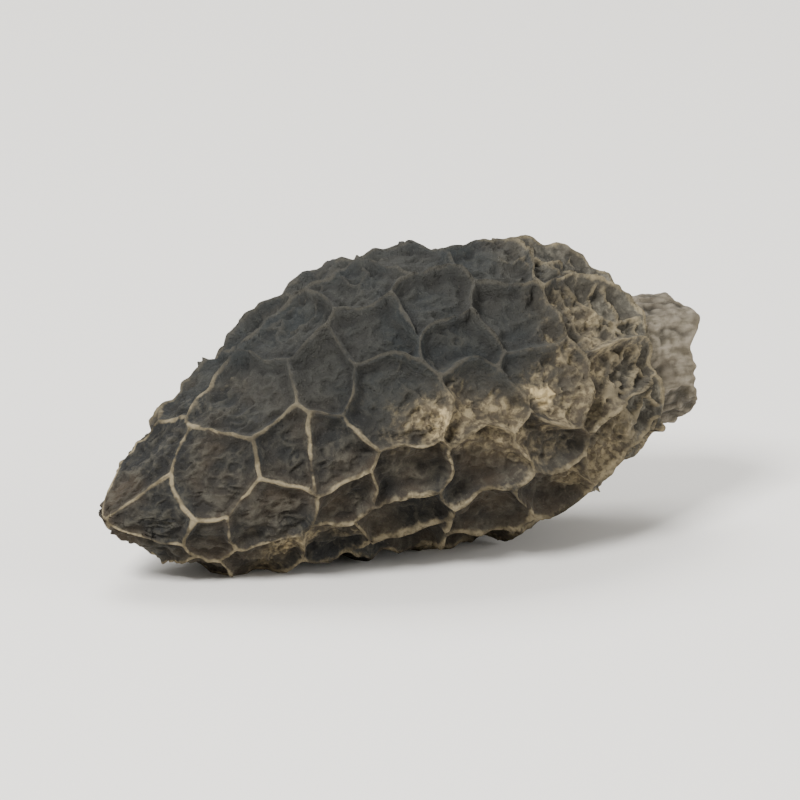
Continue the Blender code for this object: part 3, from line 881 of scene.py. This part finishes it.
# Noises are size in millimetres, detail and roughness. A tone is a noise, where it
# turns, and the two colours that it turns between. A step is a pattern, where it turns,
# and what it turns from and to. A sum is a pattern, its factor and what is added. A
# broken mask is where it turns. Over tones and coats go on in order, each with its
# mask, its strength, and its colour or tone.
capFinish = {
    "noises": {
        "broad": (5.0, 3.0, 0.55),
        "stretch": (2.6, 3.0, 0.55),
        "medium": (1.3, 3.0, 0.55),
        "fine": (0.38, 3.0, 0.55),
        "grain": (0.14, 2.0, 0.6),
    },
    "tones": {
        "ground": ("broad", 0.40, 0.66, "#20201f", "#383128"),
        "baseTan": ("fine", 0.40, 0.62, "#4e4b42", "#767165"),
        "edgeTan": ("medium", 0.42, 0.62, "#544c3b", "#786e58"),
        "rubbed": ("fine", 0.40, 0.60, "#564c3b", "#80745a"),
    },
    "steps": {
        "dustyMedium": ("medium", 0.44, 0.66, 0.0, 1.0),
        "dustyFine": ("fine", 0.40, 0.60, 0.0, 1.0),
        "creaseFine": ("fine", 0.30, 0.62, 0.0, 1.0),
        # painted shade at the foot of each ridge: rising from 0.8 to 1.6 half widths from the crest, gone
        # again by 4
        "shadeAtFootStart": ("fromCrest", 0.8, 1.6, 0.0, 1.0),
        "shadeAtFootEnd": ("fromCrest", 2.0, 4.0, 1.0, 0.0),
        "onCrest": ("fromCrest", 0.0, 0.80, 1.0, 0.0),
        "crestStretch": ("stretch", 0.40, 0.58, 0.55, 1.0),
        "dust": ("grain", 0.62, 0.78, 0.0, 1.0),
    },
    "sums": {
        "crossShare": ("base", 0.45, 0.50),
        "crumbling": ("crumbs", 1.2, 0.45),
    },
    "products": {
        "dusty": ("dustyMedium", "dustyFine"),
        "creased": ("crease", "creaseFine"),
        # painted shade at the foot of each ridge
        "foot": ("shadeAtFootStart", "shadeAtFootEnd"),
        "edge": ("onCrest", "crestStretch"),
        "flaked": ("worn", "crumbling"),
    },
    "unevenness": 0.7,
    "looseSpan": (0.643, 1.214),
    "broken": {
        "edge": (0.20, 0.80),
        "crossRidge": (0.3, 0.9),
        "bright": (0.45, 0.80),
        "flaked": (0.20, 0.95),
    },
    "overTones": (
        ("edgeTan", "upper", 0.95, "#34332f"),
        ("edgeTan", "base", 0.60, "#786e58"),
        ("rubbed", "bright", 1.0, "#b39f75"),
    ),
    "coats": (
        ("raised", 0.60, "#4c4940"),
        ("upper", 0.70, "#262929"),
        ("base", 0.40, "#4e4b42"),
        ("looseBase", 0.55, "baseTan"),
        ("foot", 0.40, "#171615"),  # painted shade: darker in the angle at the foot of each ridge
        ("edge", 1.0, "edgeTan"),
        ("crossEdge", 1.0, "edgeTan"),
        ("worn", 0.50, "#564c3b"),
        ("flaked", 0.80, "rubbed"),
        ("dust", 0.10, "#8f897b"),
    ),
    "roughness": ("fine", 0.3, 0.7, 0.78, 1.0),
    "specular": 0.20,
    "bumps": (("fine", 0.20, 1.0), ("grain", 0.07, 0.9)),
}
capMasks = ("fromCrest", "crossRidge", "crease", "crumbs", "worn", "bright", "upper", "base")


# Dried morel flesh: air dried fungus, matt and leathery, black in the pits, with the worn edges of its
# ridges rubbed down to a pale tan, and painted shade darkening the angle at the foot of each ridge. Fine
# wrinkles catch soft light.
def driedCapMaterial():
    material, tree = newMaterial("driedMorelCap")
    smooth = {"interpolation_type": "SMOOTHSTEP"}
    colours = {"data_type": "RGBA"}
    times = {"operation": "MULTIPLY"}
    plus = {"operation": "ADD"}
    timesPlus = {"operation": "MULTIPLY_ADD"}

    made = {label: addNode(tree, "Attribute", attribute_name=label).outputs["Fac"] for label in capMasks}
    place = addNode(tree, "TexCoord").outputs["Object"]
    for label, (size, detail, rough) in capFinish["noises"].items():
        inputs = {"Vector": place, "Scale": 1.0 / (size * millimetre), "Detail": detail, "Roughness": rough}
        made[label] = addNode(tree, "TexNoise", inputs)
    for label, (pattern, low, high, first, second) in capFinish["tones"].items():
        share = addNode(tree, "MapRange", {0: made[pattern], 1: low, 2: high}, **smooth)
        made[label] = addNode(tree, "Mix", {0: share, 6: linear(first), 7: linear(second)}, **colours)
    for label, (pattern, low, high, start, end) in capFinish["steps"].items():
        inputs = {0: made[pattern], 1: low, 2: high, 3: start, 4: end}
        made[label] = addNode(tree, "MapRange", inputs, **smooth)
    for label, (pattern, factor, extra) in capFinish["sums"].items():
        made[label] = addNode(tree, "Math", {0: made[pattern], 1: factor, 2: extra}, **timesPlus)
    for label, (first, second) in capFinish["products"].items():
        made[label] = addNode(tree, "Math", {0: made[first], 1: made[second]}, **times)

    # creases and dusty patches are raised and greyer
    made["raised"] = addNode(tree, "Math", {0: made["creased"], 1: made["dusty"]}, operation="MAXIMUM")

    # towards the stem the flesh is greyer, and tan where it crumbles
    loose = addNode(tree, "Math", {0: made["crumbs"], 1: made["medium"]}, **plus)
    low, high = capFinish["looseSpan"]
    loose = addNode(tree, "MapRange", {0: loose, 1: low, 2: high}, **smooth)
    made["looseBase"] = addNode(tree, "Math", {0: made["base"], 1: loose}, **times)

    # masks whose soft edges two noises break up, so that colours end crisply
    both = addNode(tree, "Math", {0: made["medium"], 1: made["fine"]}, **plus)
    factor = capFinish["unevenness"]
    uneven = addNode(tree, "Math", {0: both, 1: factor, 2: -factor}, **timesPlus)
    for label, (low, high) in capFinish["broken"].items():
        shifted = addNode(tree, "Math", {0: made[label], 1: uneven}, **plus)
        made[label] = addNode(tree, "MapRange", {0: shifted, 1: low, 2: high}, **smooth)
    made["crossEdge"] = addNode(tree, "Math", {0: made["crossRidge"], 1: made["crossShare"]}, **times)

    # ridge edges are rubbed tan below and nearly black above, and the worn band is
    # crumbled pale flesh, ochre cream in its brightest spots
    for label, mask, strength, colour in capFinish["overTones"]:
        share = addNode(tree, "Math", {0: made[mask], 1: strength}, **times)
        made[label] = addNode(tree, "Mix", {0: share, 6: made[label], 7: linear(colour)}, **colours)
    colour = made["ground"]
    for mask, strength, coat in capFinish["coats"]:
        share = addNode(tree, "Math", {0: made[mask], 1: strength}, **times)
        coat = linear(coat) if coat.startswith("#") else made[coat]
        colour = addNode(tree, "Mix", {0: share, 6: colour, 7: coat}, **colours)
    finishMaterial(tree, colour, made, capFinish)
    return material


# Noises are size in millimetres and detail. A coat is its pattern, where it turns, how
# strong it is before and after, and its colour.
stemFinish = {
    "flesh": "#4a4437",
    "coats": (
        ("fibre", 0.35, 0.65, 0.0, 1.0, "#787062"),
        ("stain", 0.46, 0.62, 0.0, 0.8, "#3d362a"),
        # painted shade in the creases of the wrinkles, darkest where they sink deepest
        ("wrinkle", 0.15, 0.55, 0.8, 0.0, "#26231d"),
        ("granule", 0.55, 0.95, 0.0, 0.5, "#787062"),
    ),
    # the lining's own browner colour, then painted shade that darkens it deeper in the hollow
    "linings": (("inside", 0.75, "#6c6250"), ("paintedShadeDeepInside", 1.0, "#3a3228")),
    "noises": {"fibre": (0.5, 4.0), "grain": (0.16, 2.0), "stain": (2.2, 4.0)},
    "fibreStretch": (0.25, 1.0, 1.0),
    "roughness": ("grain", 0.3, 0.7, 0.80, 0.96),
    "specular": 0.30,
    "bumps": (("fibre", 0.22, 1.0), ("grain", 0.08, 0.9)),
}
stemMasks = ("inside", "wrinkle", "granule", "paintedShadeDeepInside")


# Dried stem flesh: papery and mealy, shrunk into lengthwise wrinkles, with painted shade in the creases,
# a browner lining inside the hollow, and painted shade darkening that lining deeper in.
def driedStemMaterial():
    material, tree = newMaterial("driedMorelStem")
    made = {label: addNode(tree, "Attribute", attribute_name=label).outputs["Fac"] for label in stemMasks}
    place = addNode(tree, "TexCoord").outputs["Object"]
    stretched = addNode(tree, "Mapping", {"Vector": place, "Scale": stemFinish["fibreStretch"]})
    for label, (size, detail) in stemFinish["noises"].items():
        vector = stretched if label == "fibre" else place
        inputs = {"Vector": vector, "Scale": 1.0 / (size * millimetre), "Detail": detail}
        made[label] = addNode(tree, "TexNoise", inputs)

    colour = linear(stemFinish["flesh"])
    for pattern, low, high, start, end, coat in stemFinish["coats"]:
        inputs = {0: made[pattern], 1: low, 2: high, 3: start, 4: end}
        share = addNode(tree, "MapRange", inputs, interpolation_type="SMOOTHSTEP")
        inputs = {0: share, 6: colour, 7: linear(coat)}
        colour = addNode(tree, "Mix", inputs, data_type="RGBA")
    for mask, strength, coat in stemFinish["linings"]:
        share = addNode(tree, "Math", {0: made[mask], 1: strength}, operation="MULTIPLY")
        inputs = {0: share, 6: colour, 7: linear(coat)}
        colour = addNode(tree, "Mix", inputs, data_type="RGBA")
    finishMaterial(tree, colour, made, stemFinish)
    return material


capPoints, capTips, capLowered, capAttributes, capRows = makeCapSkin()
laidCap, shift = layDown(np.concatenate([capPoints, capTips]))
stemPoints, stemTips, stemAttributes, stemRows = makeStemSkin()
laidStem, _ = layDown(np.concatenate([stemPoints, stemTips]), shift)
offset = (laidCap[:, 0].min() + laidStem[:, 0].max()) / 2.0
laidCap[:, 0] -= offset
laidStem[:, 0] -= offset

capSkin = gridMesh(
    "capSkin", capRows, cap["columns"], laidCap[:-2], laidCap[-2:], capLowered, capAttributes
)
capSkin.data.materials.append(driedCapMaterial())
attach(capSkin, "root")
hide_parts("morel")
print("cap skin made:", len(capSkin.data.vertices), "points")

even = np.zeros(len(stemPoints))  # the stem has no crests that its cells should follow
stemSkin = gridMesh(
    "stemSkin", stemRows, stem["columns"], laidStem[:-2], laidStem[-2:], even, stemAttributes
)
stemSkin.data.materials.append(driedStemMaterial())
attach(stemSkin, "root")
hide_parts("morel")
print("stem and lining made:", len(stemSkin.data.vertices), "points")

# Places and sizes in metres. A panel is its name, place, side and power in watts.
studio = {
    "floorColour": "#e6e3dd",
    "floorSize": 3.0,
    "azimuth": -31.0,
    "elevation": 15.0,
    "distance": 0.5,
    "lens": 375.0,
    "aim": (0.0, 0.0, 0.0093),
    "skyColour": "#f4f3f0",
    "skyStrength": 0.62,
    "panels": (
        ("keyPanel", (-0.34, -0.22, 0.40), 0.16, 6.0),
        ("fillPanel", (0.36, -0.36, 0.10), 0.35, 2.2),
        ("topPanel", (0.05, 0.25, 0.50), 0.35, 3.2),
    ),
}


# A plain card floor, a soft sky, three soft panels that face the morel, and a camera at
# azimuth and elevation: back = (sin a cos e, -cos a cos e, sin e).
def makeStudio():
    half = studio["floorSize"] / 2.0
    corners = [(-half, -half, 0.0), (half, -half, 0.0), (half, half, 0.0), (-half, half, 0.0)]
    mesh = bpy.data.meshes.new("paleFloor")
    mesh.from_pydata(corners, [], [(0, 1, 2, 3)])
    floor = bpy.data.objects.new("paleFloor", mesh)
    bpy.context.scene.collection.objects.link(floor)
    material, tree = newMaterial("paleCard")  # matt white card: even, with no shine
    inputs = {"Base Color": linear(studio["floorColour"]), "Roughness": 0.9}
    addNode(tree, "OutputMaterial", {"Surface": addNode(tree, "BsdfPrincipled", inputs)})
    mesh.materials.append(material)

    world = bpy.data.worlds.new("softSky")
    world.use_nodes = True
    background = world.node_tree.nodes["Background"]
    background.inputs["Color"].default_value = linear(studio["skyColour"])
    background.inputs["Strength"].default_value = studio["skyStrength"]
    bpy.context.scene.world = world

    aim = Vector(studio["aim"])
    for name, place, size, power in studio["panels"]:
        lamp = bpy.data.lights.new(name, "AREA")
        lamp.shape = "SQUARE"
        lamp.size = size
        lamp.energy = power
        lampObject = bpy.data.objects.new(name, lamp)
        lampObject.location = place
        lampObject.rotation_euler = (aim - Vector(place)).to_track_quat("-Z", "Y").to_euler()
        bpy.context.scene.collection.objects.link(lampObject)

    azimuth, elevation = math.radians(studio["azimuth"]), math.radians(studio["elevation"])
    level = math.cos(elevation)
    back = Vector((math.sin(azimuth) * level, -math.cos(azimuth) * level, math.sin(elevation)))
    lens = bpy.data.cameras.new("productCamera")
    lens.lens = studio["lens"]
    lens.clip_start = 0.01
    camera = bpy.data.objects.new("productCamera", lens)
    camera.location = aim + back * studio["distance"]
    camera.rotation_euler = (-back).to_track_quat("-Z", "Y").to_euler()
    bpy.context.scene.collection.objects.link(camera)
    bpy.context.scene.camera = camera


makeStudio()
print("studio made")
